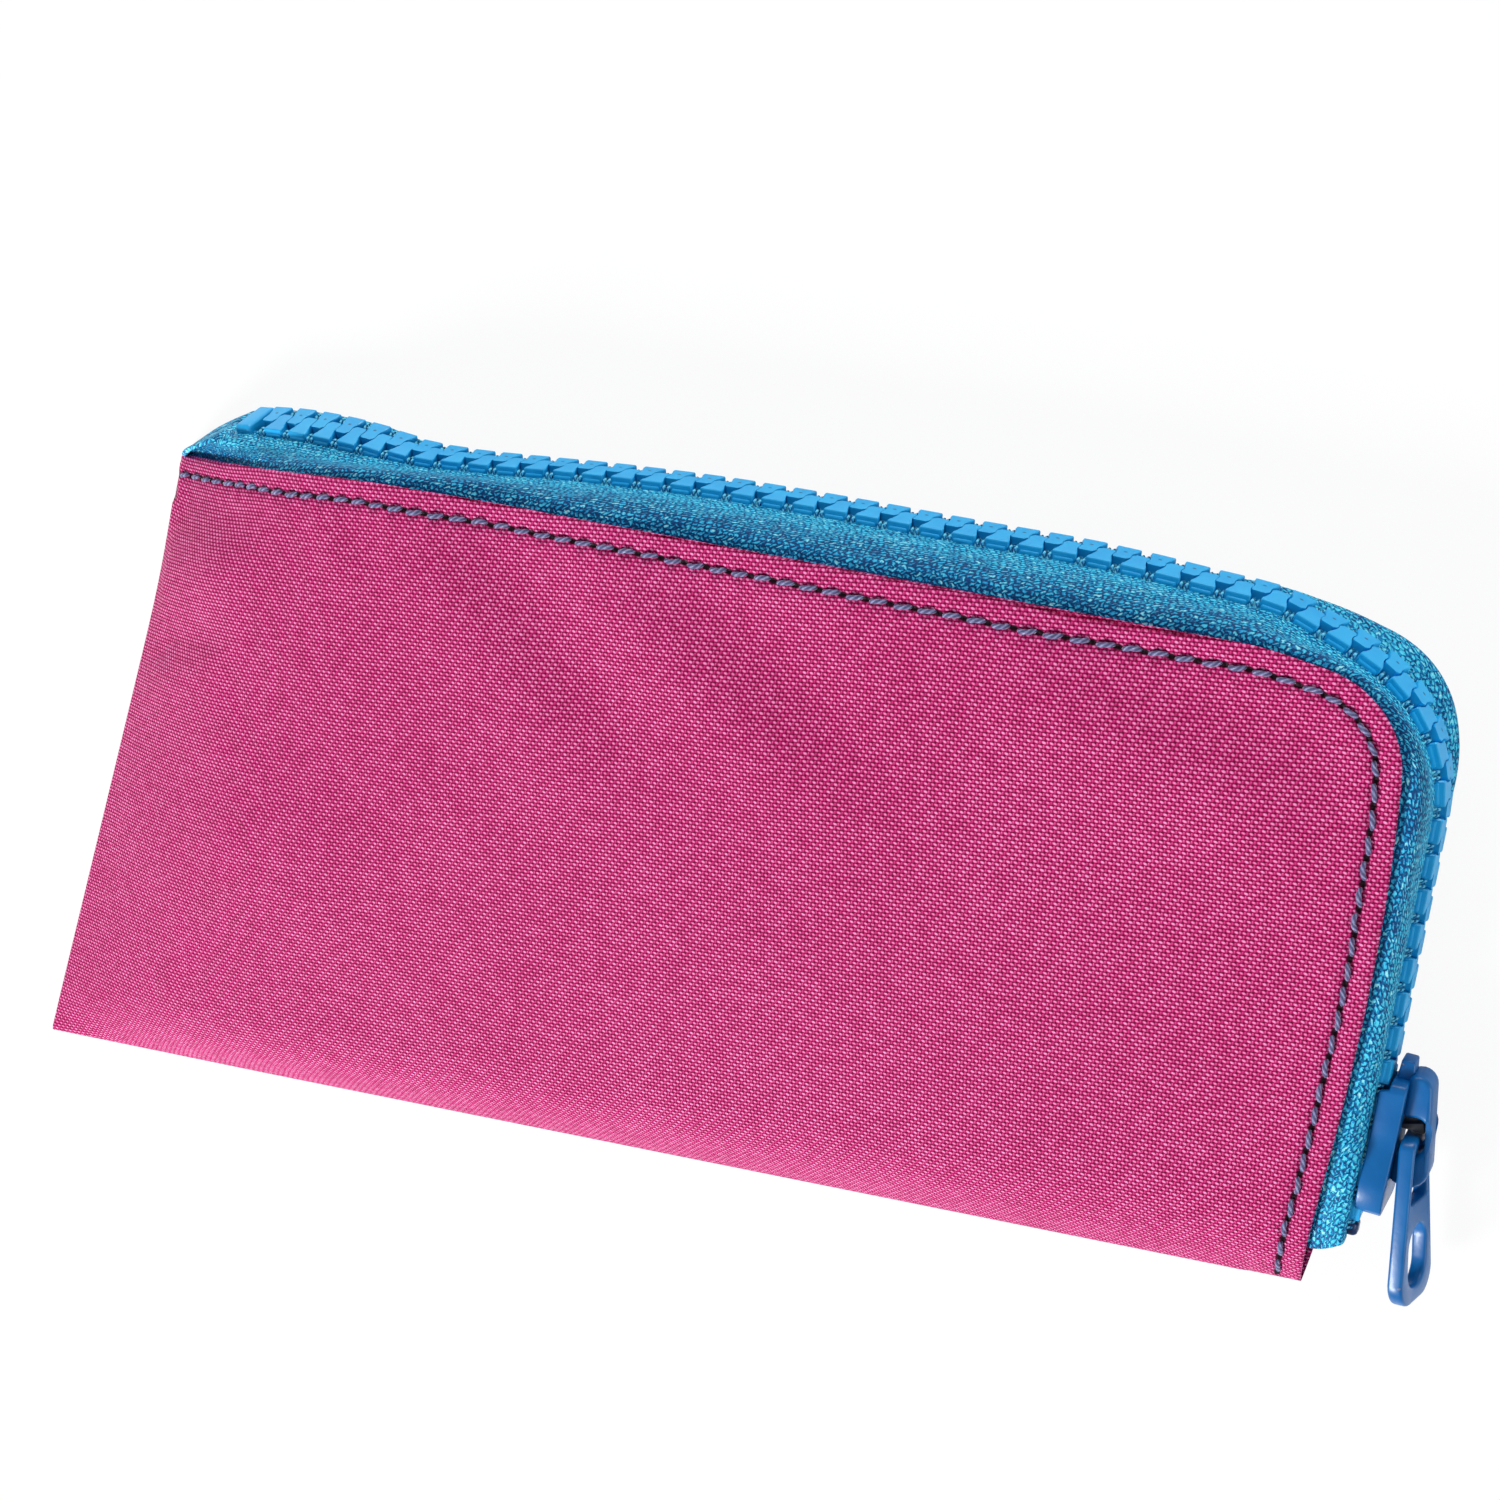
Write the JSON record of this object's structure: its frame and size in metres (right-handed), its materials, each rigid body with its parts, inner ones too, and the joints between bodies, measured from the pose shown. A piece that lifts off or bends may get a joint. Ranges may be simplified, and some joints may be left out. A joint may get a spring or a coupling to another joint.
{
  "type": "glucose meter case",
  "caption": "Soft zip pouch of woven cloth with a swollen front, a moulded zip round one long edge, a corner and one side, and a slider with a pull tab.",
  "frame": {"origin": "middle of the back panel's flat face, on the surface that the case lies on", "axes": "+X along the bottom seam towards the zipped side, +Y from the bottom seam towards the zip's long run, +Z from the back panel to the front panel"},
  "size_m": [0.2115, 0.0997, 0.0234],
  "materials": {
    "cloth": "woven polyester, dull",
    "tape": "knitted tape",
    "teeth": "moulded, satin",
    "dark_stop": "moulded, satin",
    "enamel": "gloss enamel",
    "thread": "twisted thread",
    "lining": "plain weave",
    "binding": "ribbed tape",
    "mesh": "open mesh",
    "elastic": "ribbed elastic"
  },
  "bodies": {
    "case": {"front_panel": "cloth", "back_panel": "cloth", "front_hem_stitching": "thread", "back_hem_stitching": "thread", "front_zip_tape": "tape", "back_zip_tape": "tape", "front_side_teeth": "teeth", "front_top_teeth": "teeth", "back_side_teeth": "teeth", "back_top_teeth": "teeth", "front_end_stop": "dark_stop", "back_end_stop": "dark_stop", "closed_end_stop": "teeth", "front_lining": "lining", "back_lining": "lining", "side_seam_binding": "binding", "bottom_seam_binding": "binding", "inner_pocket": "mesh", "pocket_trim": "elastic", "pen_loop": "elastic", "strip_vial_loop": "elastic"},
    "slider": {"slider_body": "enamel", "slider_crown": "enamel"},
    "puller": {"puller": "enamel"}
  },
  "joints": [
    {"name": "slider_travel", "type": "slide", "parent": "case", "child": "slider", "axis": [0.1018, 0.9939, 0.0423], "range_m": [0, 0.032], "deforming": ["front_side_teeth", "back_side_teeth"]},
    {"name": "puller_swing", "type": "hinge", "parent": "slider", "child": "puller", "pos_m": [0.11007, -0.02161, 0.00856], "axis": [-0.0043, -0.0421, 0.9991], "range_deg": [0, 140]}
  ]
}
